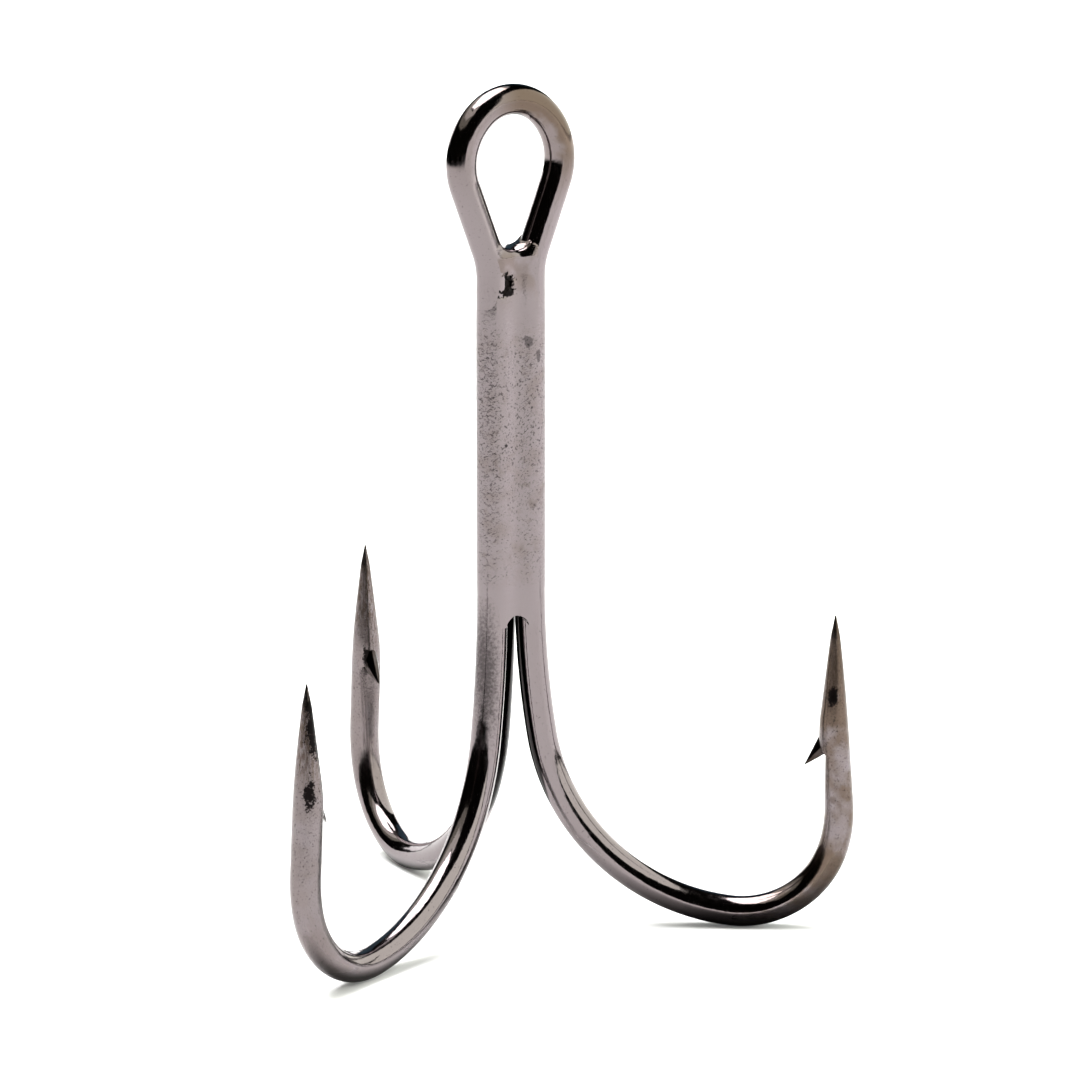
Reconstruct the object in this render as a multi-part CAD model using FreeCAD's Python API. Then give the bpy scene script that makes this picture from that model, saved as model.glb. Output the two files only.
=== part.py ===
import FreeCAD, Part
import math
import os

Vector = FreeCAD.Vector
UP = Vector(0, 0, 1)

# A treble hook, brazed together from two bent wires. The longer wire is a double hook: its middle is
# the eye, its two legs run side by side down the shank, and each ends in a barbed hook. The shorter
# wire is a single hook, laid in the groove behind the two legs. Braze fills the grooves.
#
# Frame: the origin is the centre of the eye. +Z runs up the shank, +Y runs through the eye's hole
# towards the side of the single hook, and X runs across the eye. A hook's bearing is the direction
# in which it points away from the shank, in degrees from +X towards +Y.

# Driving dimensions, in millimetres and degrees.
OVERALL_HEIGHT = 40.0               # from the top of the eye to the bottoms of the bends
WIRE_DIAMETER = 1.44
LEG_SPACING = 1.96                  # between the axes of the double hook's two legs
BRAZE_GAP = 0.06                    # between the single hook's wire and each leg
HOOK_BEARINGS = {"right": -30.0, "left": 208.0, "single": 91.0}

# The eye, along its centreline: two round sides joined by a tighter round top, above straight runs
# that close in on the shank and turn down into it at the neck.
EYE_HALF_WIDTH = 2.5
EYE_SIDE_RADIUS = 3.1
EYE_TOP_RADIUS = 2.2
EYE_CLOSING_ANGLE = 20.0
NECK_RADIUS = 4.0

# The bend of every hook, from the shank round to the spear: (radius, turn) of each arc.
BEND_ARCS = ((45.0, 9.0), (10.1, 74.5), (4.5, 83.5), (6.0, 17.0))
SPEAR_LENGTHS = {"right": 9.1, "left": 8.9, "single": 9.05}  # the straight run from the bend to the tip

# The point, ground to a long taper with a steeper tip. Its axis leaves the wire's axis, because more
# is ground off the inner side than off the outer side.
TIP_OFFSET = 0.42                   # from the wire's axis out to the tip
TAPER_TILT = 4.0
TAPER_HALF_ANGLE = 6.9
TIP_HALF_ANGLE = 11.5
TIP_BEVEL_LENGTH = 1.0
TIP_RADIUS = 0.03

# The barb, a chip of the wire's inner side lifted towards the shank, cut at a slightly different
# place on each hook. The other places are (distance below the barb's tip, distance in from the
# wire's axis).
BARB_DROPS = {"right": 7.1, "left": 6.7, "single": 6.5}     # from the point down to the barb's tip
BARB_TIP = (0.0, 1.47)
BARB_ROOT = (-0.6, 0.46)
BARB_HALF_ANGLE = 30.0
BARB_BURIED_LENGTH = 1.45           # along the barb's underside, from its tip into the wire
BARB_HALF_WIDTH = 0.5
CHIP_CUT_END = (2.1, 0.75)          # where the flat under the barb runs out of the wire

# The braze.
CROTCH_DROP = 21.3                  # from the eye's centre down to where the braze ends
CROTCH_ARCH_RADIUS = 0.55
CROTCH_TONGUE = 0.45                # how far the braze runs on down along the wires
FRONT_MENISCUS_RADIUS = 5.0
SIDE_MENISCUS_RADIUS = 2.0
SADDLE_DROP = 3.6                   # from the eye's centre down to the braze at the hole's bottom
SADDLE_RADIUS = 1.0
SADDLE_RISE = 0.35                  # how far the braze climbs the wires at the hole's bottom
POOL_FRONT = 0.5                    # from the legs' plane forward to the face of the pool
SINGLE_TOP_DROP = 4.9               # from the eye's centre down to the middle of the wire's round end

# Derived sizes.
WIRE_RADIUS = WIRE_DIAMETER / 2
LEG_X = LEG_SPACING / 2
SINGLE_Y = math.sqrt((WIRE_DIAMETER + BRAZE_GAP) ** 2 - LEG_X ** 2)
CUT_MARGIN = 0.5                    # how far a cutting solid runs past what it cuts


def sin(degrees):
    return math.sin(math.radians(degrees))


def cos(degrees):
    return math.cos(math.radians(degrees))


def tan(degrees):
    return math.tan(math.radians(degrees))


def compass(bearing):
    """The level direction of a bearing."""
    return Vector(cos(bearing), sin(bearing), 0)


class Wire:
    """Round wire laid along straight runs and arcs, in the upright plane of a bearing.

    The heading is in degrees above the level direction of the bearing.
    """

    def __init__(self, place, heading, bearing):
        self.place = place
        self.heading = heading
        self.bearing = bearing
        self.stretches = []

    def forward(self):
        return compass(self.bearing) * cos(self.heading) + UP * sin(self.heading)

    def left(self):
        return UP * cos(self.heading) - compass(self.bearing) * sin(self.heading)

    def straight(self, length):
        direction = self.forward()
        self.stretches.append(Part.makeCylinder(WIRE_RADIUS, length, self.place, direction))
        self.place = self.place + direction * length

    def arc(self, radius, turn):
        """Turn left by a positive angle, or right by a negative one."""
        side = math.copysign(1, turn)
        centre = self.place + self.left() * (side * radius)
        axis = self.forward().cross(self.left()) * side
        section = Part.Face(Part.Wire(Part.makeCircle(WIRE_RADIUS, self.place, self.forward())))
        self.stretches.append(section.revolve(centre, axis, abs(turn)))
        self.heading += turn
        self.place = centre - self.left() * (side * radius)

    def solid(self):
        return fused(self.stretches)


def fused(shapes):
    return shapes[0].multiFuse(shapes[1:]).removeSplitter()


def prism(corners, travel):
    """A solid swept from a flat outline of 3-D corners along a vector."""
    return Part.Face(Part.makePolygon(corners + corners[:1])).extrude(travel)


# The spear, the point and the barb.

def ground_profile(axis, side, tip, length):
    """The solid that the grinding leaves: a steep tip, then the long taper, turned about its axis."""
    bevel_radius = TIP_RADIUS + TIP_BEVEL_LENGTH * tan(TIP_HALF_ANGLE)
    base_radius = bevel_radius + (length - TIP_BEVEL_LENGTH) * tan(TAPER_HALF_ANGLE)
    outline = ((0, 0), (0, TIP_RADIUS), (TIP_BEVEL_LENGTH, bevel_radius), (length, base_radius), (length, 0))
    corners = [tip + axis * along + side * out for along, out in outline]
    face = Part.Face(Part.makePolygon(corners + corners[:1]))
    return face.revolve(tip, axis, 360)


def lay_spear(wire, length, barb_drop):
    """The straight run to the tip, ground to a point, with its barb lifted on the inner side."""
    down = wire.forward() * -1
    inward = wire.left()
    across = down.cross(inward)
    tip_level = wire.place - down * length

    def place(below, inner):
        return tip_level + down * below + inward * inner

    def slab(spots, half_width):
        corners = [place(below, inner) - across * half_width for below, inner in spots]
        return prism(corners, across * (2 * half_width))

    taper_axis = down * cos(TAPER_TILT) + inward * sin(TAPER_TILT)
    taper_side = inward * cos(TAPER_TILT) - down * sin(TAPER_TILT)
    tip = place(0, -TIP_OFFSET)
    ground = ground_profile(taper_axis, taper_side, tip, length + CUT_MARGIN)
    spear = Part.makeCylinder(WIRE_RADIUS, length, wire.place, wire.forward()).common(ground)

    def lowered(spot):
        return (barb_drop + spot[0], spot[1])

    barb_tip = place(*lowered(BARB_TIP))
    barb_axis = (place(*lowered(BARB_ROOT)) - barb_tip).normalize()
    barb_base = BARB_BURIED_LENGTH * tan(BARB_HALF_ANGLE)
    cone = Part.makeCone(0, barb_base, BARB_BURIED_LENGTH, barb_tip, barb_axis)
    above = barb_drop + BARB_ROOT[0] - WIRE_DIAMETER
    below = barb_drop + WIRE_DIAMETER
    beyond = BARB_TIP[1] + CUT_MARGIN
    barb = cone.common(slab([(above, 0), (above, beyond), (below, beyond), (below, 0)], BARB_HALF_WIDTH))

    clear_of_wire = (CHIP_CUT_END[0], BARB_TIP[1])
    chip = [lowered(spot) for spot in (BARB_ROOT, BARB_TIP, clear_of_wire, CHIP_CUT_END)]
    chip_cut = slab(chip, WIRE_DIAMETER)
    wire.stretches.append(spear.fuse(barb).cut(chip_cut))


def lay_hook(wire, bearing, name):
    """The bend and the spear, from the foot of the shank."""
    wire.bearing = bearing
    for radius, turn in BEND_ARCS:
        wire.arc(radius, turn)
    lay_spear(wire, SPEAR_LENGTHS[name], BARB_DROPS[name])


# The two wires.

def neck_level():
    """How far below the eye's centre the legs become upright."""
    run_drop = eye_run_length() * cos(EYE_CLOSING_ANGLE)
    return eye_run_start()[1] + run_drop + NECK_RADIUS * sin(EYE_CLOSING_ANGLE)


def eye_run_start():
    """Where the straight runs below the eye begin: (distance from the middle, distance below it)."""
    from_middle = EYE_HALF_WIDTH - EYE_SIDE_RADIUS * (1 - cos(EYE_CLOSING_ANGLE))
    return from_middle, EYE_SIDE_RADIUS * sin(EYE_CLOSING_ANGLE)


def eye_run_length():
    closing = eye_run_start()[0] - LEG_X - NECK_RADIUS * (1 - cos(EYE_CLOSING_ANGLE))
    return closing / sin(EYE_CLOSING_ANGLE)


def leg_x_at(drop):
    """How far each leg's centreline is from the middle, along the straight run below the eye."""
    from_middle, start_drop = eye_run_start()
    return from_middle - (drop - start_drop) * tan(EYE_CLOSING_ANGLE)


def eye_side_turn():
    """How far each round side of the eye turns above the eye's centre."""
    return math.degrees(math.acos((EYE_SIDE_RADIUS - EYE_HALF_WIDTH) / (EYE_SIDE_RADIUS - EYE_TOP_RADIUS)))


def eye_rise():
    """From the eye's centre up to the wire's axis at the top of the eye."""
    return (EYE_SIDE_RADIUS - EYE_TOP_RADIUS) * sin(eye_side_turn()) + EYE_TOP_RADIUS


def bend_depth():
    """How far the wire's axis drops from the start of a bend to its lowest place."""
    depth = 0.0
    heading = -90.0
    for radius, turn in BEND_ARCS:
        next_heading = min(heading + turn, 0.0)
        depth += radius * (cos(next_heading) - cos(heading))
        heading = next_heading
    return depth


def shank_drop():
    """From the eye's centre down to where the bends begin."""
    return OVERALL_HEIGHT - eye_rise() - bend_depth() - WIRE_DIAMETER


def double_hook_half(bearing, name):
    """From the top of the eye down the right-hand leg to its hook's tip."""
    wire = Wire(Vector(0, 0, eye_rise()), 0.0, 0.0)
    wire.arc(EYE_TOP_RADIUS, eye_side_turn() - 90)
    wire.arc(EYE_SIDE_RADIUS, -eye_side_turn() - EYE_CLOSING_ANGLE)
    wire.straight(eye_run_length())
    wire.arc(NECK_RADIUS, EYE_CLOSING_ANGLE)
    wire.straight(shank_drop() - neck_level())
    lay_hook(wire, bearing, name)
    return wire.solid()


def double_hook():
    right = double_hook_half(HOOK_BEARINGS["right"], "right")
    mirrored_left = double_hook_half(180 - HOOK_BEARINGS["left"], "left")
    left = mirrored_left.mirror(Vector(0, 0, 0), Vector(1, 0, 0))
    return fused([right, left])


def single_hook():
    """The wire with a rounded top end, laid behind the two legs."""
    top = Vector(0, SINGLE_Y, -SINGLE_TOP_DROP)
    wire = Wire(top, -90.0, HOOK_BEARINGS["single"])
    wire.stretches.append(Part.makeSphere(WIRE_RADIUS, top))
    wire.straight(shank_drop() - SINGLE_TOP_DROP)
    lay_hook(wire, HOOK_BEARINGS["single"], "single")
    return wire.solid()


# The braze. A bead fills the groove between two upright wires. Its face is a hollow round that
# touches both wires, so the triangle between the two wires' axes and the round's axis holds it.

def upright_prism(corners, low, high):
    lifted = [Vector(corner.x, corner.y, low) for corner in corners]
    return prism(lifted, UP * (high - low))


def bead(first, second, outward, meniscus_radius, core_corner=None):
    """The bead between two wires, with the crotch arch cut in its lower end.

    A core corner extends the bead inward to that point, through the gap between the wires.
    """
    low = -CROTCH_DROP - CROTCH_TONGUE
    high = -neck_level()
    middle = (first + second) * 0.5
    half_apart = (second - first).Length / 2
    reach = math.sqrt((WIRE_RADIUS + meniscus_radius) ** 2 - half_apart ** 2)
    face_axis = middle + outward * reach
    shape = upright_prism([first, second, face_axis], low, high)
    if core_corner is not None:
        shape = shape.fuse(upright_prism([first, second, core_corner], low, high)).removeSplitter()
    face_foot = Vector(face_axis.x, face_axis.y, low - CUT_MARGIN)
    face_cut = Part.makeCylinder(meniscus_radius, high - low + 2 * CUT_MARGIN, face_foot, UP)
    arch_start = Vector(middle.x, middle.y, -CROTCH_DROP - CROTCH_ARCH_RADIUS) - outward * WIRE_DIAMETER
    arch_cut = Part.makeCylinder(CROTCH_ARCH_RADIUS, 2 * WIRE_DIAMETER, arch_start, outward)
    return shape.cut(face_cut).cut(arch_cut)


def front_braze(wires):
    left_leg = Vector(-LEG_X, 0, 0)
    right_leg = Vector(LEG_X, 0, 0)
    single = Vector(0, SINGLE_Y, 0)
    shape = bead(left_leg, right_leg, Vector(0, -1, 0), FRONT_MENISCUS_RADIUS, core_corner=single)
    return shape.cut(wires)


def side_braze(side, wires):
    """The bead between the single hook's wire and the leg on one side: -1 left, 1 right."""
    leg = Vector(side * LEG_X, 0, 0)
    single = Vector(0, SINGLE_Y, 0)
    outward = Vector(side * SINGLE_Y, LEG_X, 0).normalize()
    return bead(leg, single, outward, SIDE_MENISCUS_RADIUS).cut(wires)


def eye_braze(wires):
    """The pool at the bottom of the eye's hole, over the single hook's end, with a hollow saddle."""
    def outline(drop, leg_x, back):
        spots = ((-leg_x, -POOL_FRONT), (leg_x, -POOL_FRONT), (leg_x, 0), (LEG_X / 2, back),
                 (-LEG_X / 2, back), (-leg_x, 0))
        corners = [Vector(x, y, -drop) for x, y in spots]
        return Part.makePolygon(corners + corners[:1])

    top_drop = SADDLE_DROP - SADDLE_RISE
    foot = outline(neck_level(), LEG_X, SINGLE_Y)
    top = outline(top_drop, leg_x_at(top_drop), WIRE_RADIUS)
    pool = Part.makeLoft([foot, top], True, True)
    saddle_start = Vector(0, -WIRE_DIAMETER, SADDLE_RADIUS - SADDLE_DROP)
    saddle = Part.makeCylinder(SADDLE_RADIUS, 3 * WIRE_DIAMETER, saddle_start, Vector(0, 1, 0))
    return pool.cut(saddle).cut(wires)


def build():
    double = double_hook()
    single = single_hook()
    wires = [double, single]
    return {
        "double_hook": double,
        "single_hook": single,
        "front_braze": front_braze(wires),
        "left_braze": side_braze(-1, wires),
        "right_braze": side_braze(1, wires),
        "eye_braze": eye_braze(wires),
    }


os.makedirs("parts", exist_ok=True)
for node, shape in build().items():
    print(node, "solids", len(shape.Solids), "valid", shape.isValid(), "volume", round(shape.Volume, 3))
    shape.exportStep("parts/" + node + ".step")
print("eye centre above the bottoms of the bends", round(OVERALL_HEIGHT - eye_rise() - WIRE_RADIUS, 3))
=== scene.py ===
import math

import bpy
import numpy as np
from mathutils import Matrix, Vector, noise


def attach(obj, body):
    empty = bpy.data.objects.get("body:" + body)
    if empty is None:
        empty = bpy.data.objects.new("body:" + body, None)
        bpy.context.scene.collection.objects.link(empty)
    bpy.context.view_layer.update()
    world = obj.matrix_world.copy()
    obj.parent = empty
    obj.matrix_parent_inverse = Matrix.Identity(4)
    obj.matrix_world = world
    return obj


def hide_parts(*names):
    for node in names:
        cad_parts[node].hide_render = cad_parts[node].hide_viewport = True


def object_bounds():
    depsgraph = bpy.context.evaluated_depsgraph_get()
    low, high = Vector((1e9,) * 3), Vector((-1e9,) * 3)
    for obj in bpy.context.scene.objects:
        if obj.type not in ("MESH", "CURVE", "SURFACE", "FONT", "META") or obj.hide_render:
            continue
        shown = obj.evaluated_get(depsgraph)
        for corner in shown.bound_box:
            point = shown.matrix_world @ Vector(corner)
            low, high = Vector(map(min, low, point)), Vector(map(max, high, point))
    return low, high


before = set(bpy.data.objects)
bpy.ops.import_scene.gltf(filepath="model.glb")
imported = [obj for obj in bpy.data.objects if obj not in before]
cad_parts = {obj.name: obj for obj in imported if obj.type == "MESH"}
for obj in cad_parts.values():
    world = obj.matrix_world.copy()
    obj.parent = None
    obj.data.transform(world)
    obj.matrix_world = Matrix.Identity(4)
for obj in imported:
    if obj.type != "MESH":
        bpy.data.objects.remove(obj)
cad_low, cad_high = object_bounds()

# A treble hook: a double hook and a single hook bent from round wire, joined by a skin of braze.
# The frame's origin is the centre of the eye, +Z runs up the shank and +Y towards the single hook.
# A bearing is the direction in which a hook points away from the shank, in degrees from +X to +Y.

MM = 0.001

# The wires, as in the CAD model.
WIRE_RADIUS = 0.72 * MM
LEG_X = 0.98 * MM
SINGLE_Y = 1.135 * MM
BEARINGS = {"right": -30.0, "left": 208.0, "single": 91.0}
EYE_HALF_WIDTH = 2.5 * MM
EYE_SIDE_RADIUS = 3.1 * MM
EYE_TOP_RADIUS = 2.2 * MM
EYE_CLOSING_ANGLE = 20.0
NECK_RADIUS = 4.0 * MM
BEND_ARCS = ((45.0 * MM, 9.0), (10.1 * MM, 74.5), (4.5 * MM, 83.5), (6.0 * MM, 17.0))
SPEAR_LENGTHS = {"right": 9.1 * MM, "left": 8.9 * MM, "single": 9.05 * MM}
SINGLE_TOP_DROP = 4.9 * MM

# The ground points, and the barbs. A barb's places are (below the barb's tip, inward of the wire's axis).
TIP_OFFSET = 0.42 * MM
TAPER_TILT = 4.0
TAPER_HALF_ANGLE = 6.9
TIP_HALF_ANGLE = 11.5
TIP_BEVEL_LENGTH = 1.0 * MM
TIP_RADIUS = 0.03 * MM
EDGE_ROUNDING = 0.14 * MM           # where the grinding runs out of the round wire
BARB_DROPS = {"right": 7.1 * MM, "left": 6.7 * MM, "single": 6.5 * MM}
BARB_TIP = (0.0, 1.47 * MM)
BARB_ROOT = (-0.6 * MM, 0.46 * MM)
BARB_SLOPE = 0.57                   # its back rises this much for each length away from its tip
BARB_HALF_WIDTH = 0.5 * MM
BARB_LENGTH = 1.5 * MM              # from its tip to its buried end
BARB_UNDERSIDE = 0.06               # how far the barb's underside bulges, against its back
CHIP_CUT_END = (2.1 * MM, 0.75 * MM)      # where the flat under the barb runs out of the wire
CHIP_ROUNDING = 0.28 * MM

# The braze skin.
CROTCH_DROP = 21.3 * MM
CROTCH_ARCH_RADIUS = 0.5 * MM
SKIN_END_FADE = 1.6 * MM            # over which the skin sinks into the wires at its lower end
NECK_FADE_TOP = 4.1 * MM            # the skin also sinks into the wires up the neck
NECK_FADE = 3.4 * MM
SKIN_THICKNESS = 0.012 * MM
END_SINK = 0.045 * MM
NECK_SINK = 0.10 * MM
FRONT_FILL = 1.76 * MM              # how widely the braze blends the two legs
SIDE_FILL = 1.0 * MM                # how widely it blends the single hook's wire with the legs
POOL_FILL = 0.50 * MM               # how much more widely it blends them at the top of the pool
POOL_START_DROP = 5.4 * MM
SADDLE_DROP = 3.92 * MM             # the bottom of the eye's hole
SADDLE_RADIUS = 0.89 * MM           # across the hole
SADDLE_ROUNDING = 0.45 * MM         # how far it falls away through the hole
SADDLE_HALF_WIDTH = 0.75 * MM
BACK_ROUNDING = 0.5 * MM            # how much further it falls away over the single hook's wire
BACK_START = 0.2                    # the sines of the directions between which the back begins
BACK_FULL = 0.7
SKIN_CENTRE_Y = 0.3 * MM
GROOVES = ((-90.0, 30.0), (47.0, 14.0), (133.0, 14.0))     # directions and half widths in degrees
PIT = (-0.66 * MM, -5.55 * MM)      # x and z of a pit in the braze beside the left leg
PIT_RADIUS = 0.34 * MM
PIT_DEPTH = 0.16 * MM
PIT_EDGE_SIZE = 0.22 * MM            # of the noise that frays its edge, and how much it does
PIT_EDGE_FRAYING = 0.7
PIT_REACH = 2.0                     # in radii, beyond which there is none of it left
SKIN_UNEVENNESS = 0.004 * MM
SKIN_UNEVENNESS_SIZE = 0.6 * MM

# Mesh resolution.
RING_POINTS = 64
STATION_STEP = 0.12 * MM
SKIN_COLUMNS = 240
SKIN_STEP = 0.05 * MM
SKIN_SEARCH_REACH = 4.5 * MM        # further out than the skin is anywhere
SKIN_SEARCH_STEPS = 34
SKIN_TOP_RINGS = 26
SKIN_FOOT_SHARES = (0.85, 0.05, 9)  # the first, the last and the number of rings under the end
WIRE_END_RINGS = 13
LAST_RING_TURN = 87.0               # of the 90 degrees over a rounded end, before a fan closes it
BARB_RINGS = 36
BARB_COLUMNS = 40
BARB_CROWDING = 1.3                 # the barb's rings crowd towards its tip by this power
SHARP_EDGE_ANGLE = 50.0


def sin(degrees):
    return math.sin(math.radians(degrees))


def cos(degrees):
    return math.cos(math.radians(degrees))


def tan(degrees):
    return math.tan(math.radians(degrees))


def compass(bearing):
    """The level direction of a bearing."""
    return np.array((cos(bearing), sin(bearing), 0.0))


UP = np.array((0.0, 0.0, 1.0))


def smoothstep(values, start, end):
    share = np.clip((values - start) / (end - start), 0.0, 1.0)
    return share * share * (3.0 - 2.0 * share)


def smooth_union(first, second, width):
    """The smaller of two distances, with the crease between them filled over the width."""
    overlap = np.clip(width - np.abs(first - second), 0.0, None) / width
    return np.minimum(first, second) - overlap * overlap * width / 4.0


# The wires' centrelines.

class WireLine:
    """A wire's centreline, as stations along straight runs and arcs in the upright plane of a bearing."""

    def __init__(self, place, heading, bearing):
        self.place = np.array(place, float)
        self.heading = heading
        self.bearing = bearing
        self.places = [self.place]
        self.inward = [self.left()]

    def forward(self):
        return compass(self.bearing) * cos(self.heading) + UP * sin(self.heading)

    def left(self):
        return UP * cos(self.heading) - compass(self.bearing) * sin(self.heading)

    def note_station(self):
        self.places.append(self.place)
        self.inward.append(self.left())

    def straight(self, length):
        steps = math.ceil(length / STATION_STEP)
        for _ in range(steps):
            self.place = self.place + self.forward() * (length / steps)
            self.note_station()

    def arc(self, radius, turn):
        side = math.copysign(1.0, turn)
        steps = math.ceil(radius * math.radians(abs(turn)) / STATION_STEP)
        centre = self.place + self.left() * (side * radius)
        for _ in range(steps):
            self.heading += turn / steps
            self.place = centre - self.left() * (side * radius)
            self.note_station()

    def hook(self, name):
        self.bearing = BEARINGS[name]
        for radius, turn in BEND_ARCS:
            self.arc(radius, turn)
        self.straight(SPEAR_LENGTHS[name])


def eye_run():
    """The straight runs below the eye: (distance from the middle, drop, length)."""
    start_x = EYE_HALF_WIDTH - EYE_SIDE_RADIUS * (1.0 - cos(EYE_CLOSING_ANGLE))
    closing = start_x - LEG_X - NECK_RADIUS * (1.0 - cos(EYE_CLOSING_ANGLE))
    return start_x, EYE_SIDE_RADIUS * sin(EYE_CLOSING_ANGLE), closing / sin(EYE_CLOSING_ANGLE)


def eye_side_turn():
    return math.degrees(math.acos((EYE_SIDE_RADIUS - EYE_HALF_WIDTH) / (EYE_SIDE_RADIUS - EYE_TOP_RADIUS)))


def neck_drop():
    """From the eye's centre down to where the legs become upright."""
    _, start_drop, length = eye_run()
    return start_drop + length * cos(EYE_CLOSING_ANGLE) + NECK_RADIUS * sin(EYE_CLOSING_ANGLE)


def bend_depth():
    depth, heading = 0.0, -90.0
    for radius, turn in BEND_ARCS:
        next_heading = min(heading + turn, 0.0)
        depth += radius * (cos(next_heading) - cos(heading))
        heading = next_heading
    return depth


SHANK_DROP = -cad_low.z - WIRE_RADIUS - bend_depth()


def leg_line(name, bearing_sign):
    """From the top of the eye down one leg to its hook's tip. A sign of -1 mirrors it to the left."""
    top = (EYE_SIDE_RADIUS - EYE_TOP_RADIUS) * sin(eye_side_turn()) + EYE_TOP_RADIUS
    line = WireLine((0.0, 0.0, top), 0.0, 0.0 if bearing_sign > 0 else 180.0)
    line.arc(EYE_TOP_RADIUS, eye_side_turn() - 90.0)
    line.arc(EYE_SIDE_RADIUS, -eye_side_turn() - EYE_CLOSING_ANGLE)
    line.straight(eye_run()[2])
    line.arc(NECK_RADIUS, EYE_CLOSING_ANGLE)
    line.straight(SHANK_DROP - neck_drop())
    line.hook(name)
    return line


def single_line():
    line = WireLine((0.0, SINGLE_Y, -SINGLE_TOP_DROP), -90.0, BEARINGS["single"])
    line.straight(SHANK_DROP - SINGLE_TOP_DROP)
    line.hook("single")
    return line


# The wire's cross-sections.

def circle_reach(from_centre, radius, angles):
    """From a point inside a circle, the distance to the circle along each angle."""
    across = from_centre * np.sin(angles)
    return np.sqrt(np.maximum(radius * radius - across * across, 0.0)) - from_centre * np.cos(angles)


def ground_radius(below_tip):
    if below_tip < TIP_BEVEL_LENGTH:
        return TIP_RADIUS + below_tip * tan(TIP_HALF_ANGLE)
    bevel_radius = TIP_RADIUS + TIP_BEVEL_LENGTH * tan(TIP_HALF_ANGLE)
    return bevel_radius + (below_tip - TIP_BEVEL_LENGTH) * tan(TAPER_HALF_ANGLE)


def section(below_tip, angles, barb_drop):
    """The section's outline as (inward, across) at a distance below the tip; angle 0 faces inward."""
    ground = ground_radius(below_tip)
    ground_centre = below_tip * tan(TAPER_TILT) - TIP_OFFSET
    inner = min(WIRE_RADIUS, ground_centre + ground)
    outer = max(-WIRE_RADIUS, ground_centre - ground)
    middle = (inner + outer) / 2.0
    to_wire = circle_reach(middle, WIRE_RADIUS, angles)
    to_ground = circle_reach(middle - ground_centre, ground, angles)
    rounding = min(EDGE_ROUNDING, ground)
    reach = smooth_union(to_wire, to_ground, rounding)
    inward = middle + reach * np.cos(angles)
    across = reach * np.sin(angles)
    below_root = below_tip - barb_drop - BARB_ROOT[0]
    if below_root >= 0.0:
        widening = (CHIP_CUT_END[1] - BARB_ROOT[1]) / (CHIP_CUT_END[0] - BARB_ROOT[0])
        flat = BARB_ROOT[1] + below_root * widening
        inward = smooth_union(inward, flat, CHIP_ROUNDING)
    return inward, across


def unrolled(below_tip, angles):
    """Places for the textures: the distance below the tip, and the place round the wire."""
    below = np.full(len(angles), below_tip)
    return np.stack((below, WIRE_RADIUS * np.cos(angles), WIRE_RADIUS * np.sin(angles)), 1)


def ring_surface(places, inward_axes, below_tips, barb_drops):
    """Rings of points round a centreline, kept from twisting, with each point's own marks."""
    places = np.array(places)
    tangents = np.gradient(places, axis=0)
    tangents /= np.linalg.norm(tangents, axis=1)[:, None]
    turned = np.linspace(0.0, 2.0 * math.pi, RING_POINTS, endpoint=False)
    reference = np.array(inward_axes[0])
    points, marks = [], []
    for i, (place, tangent) in enumerate(zip(places, tangents)):
        reference = reference - tangent * (reference @ tangent)
        reference /= np.linalg.norm(reference)
        inward = inward_axes[i] - tangent * (inward_axes[i] @ tangent)
        inward /= np.linalg.norm(inward)
        across = np.cross(tangent, inward)
        offset = math.atan2(np.cross(reference, inward) @ tangent, reference @ inward)
        angles = turned - offset
        a, b = section(below_tips[i], angles, barb_drops[i])
        points.append(place + a[:, None] * inward + b[:, None] * across)
        marks.append(unrolled(below_tips[i], turned))
    return np.array(points), np.array(marks)


def surface_mesh(points, marks):
    """Quads between rings, with the two ends closed by fans. Returns vertices, faces and marks."""
    rings, columns, _ = points.shape
    index = np.arange(rings * columns).reshape(rings, columns)
    after = np.roll(index, -1, axis=1)
    quads = np.stack((index[:-1], after[:-1], after[1:], index[1:]), -1).reshape(-1, 4)
    faces = [tuple(quad) for quad in quads.tolist()]
    vertices = np.vstack((points.reshape(-1, 3), points[0].mean(0), points[-1].mean(0)))
    marks = marks.reshape(-1, 3)
    marks = np.vstack((marks, marks[0], marks[-1]))
    first, last = index[0].tolist(), index[-1].tolist()
    first_centre = rings * columns
    last_centre = first_centre + 1
    for k in range(columns):
        following = (k + 1) % columns
        faces.append((first[following], first[k], first_centre))
        faces.append((last[k], last[following], last_centre))
    return vertices, faces, marks


def make_object(name, parts, material, nodes):
    """One visible piece from several closed surfaces, standing for its CAD nodes."""
    vertices, faces, marks = [], [], []
    for part_vertices, part_faces, part_marks in parts:
        start = sum(len(v) for v in vertices)
        vertices.append(part_vertices)
        marks.append(part_marks)
        faces.extend(tuple(start + i for i in face) for face in part_faces)
    mesh = bpy.data.meshes.new(name)
    mesh.from_pydata(np.vstack(vertices).tolist(), [], faces)
    mesh.update()
    attribute = mesh.attributes.new("place_on_wire", "FLOAT_VECTOR", "POINT")
    attribute.data.foreach_set("vector", np.vstack(marks).astype(np.float32).ravel())
    mesh.shade_smooth()
    mesh.set_sharp_from_angle(angle=math.radians(SHARP_EDGE_ANGLE))
    piece = bpy.data.objects.new(name, mesh)
    bpy.context.scene.collection.objects.link(piece)
    mesh.materials.append(material)
    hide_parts(*nodes)
    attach(piece, "root")


def below_tip_of(line):
    """Each station's distance below its hook's tip."""
    tip_side = np.cumsum(np.linalg.norm(np.diff(np.array(line.places)[::-1], axis=0), axis=1))
    return np.concatenate(([0.0], tip_side))[::-1]


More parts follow.
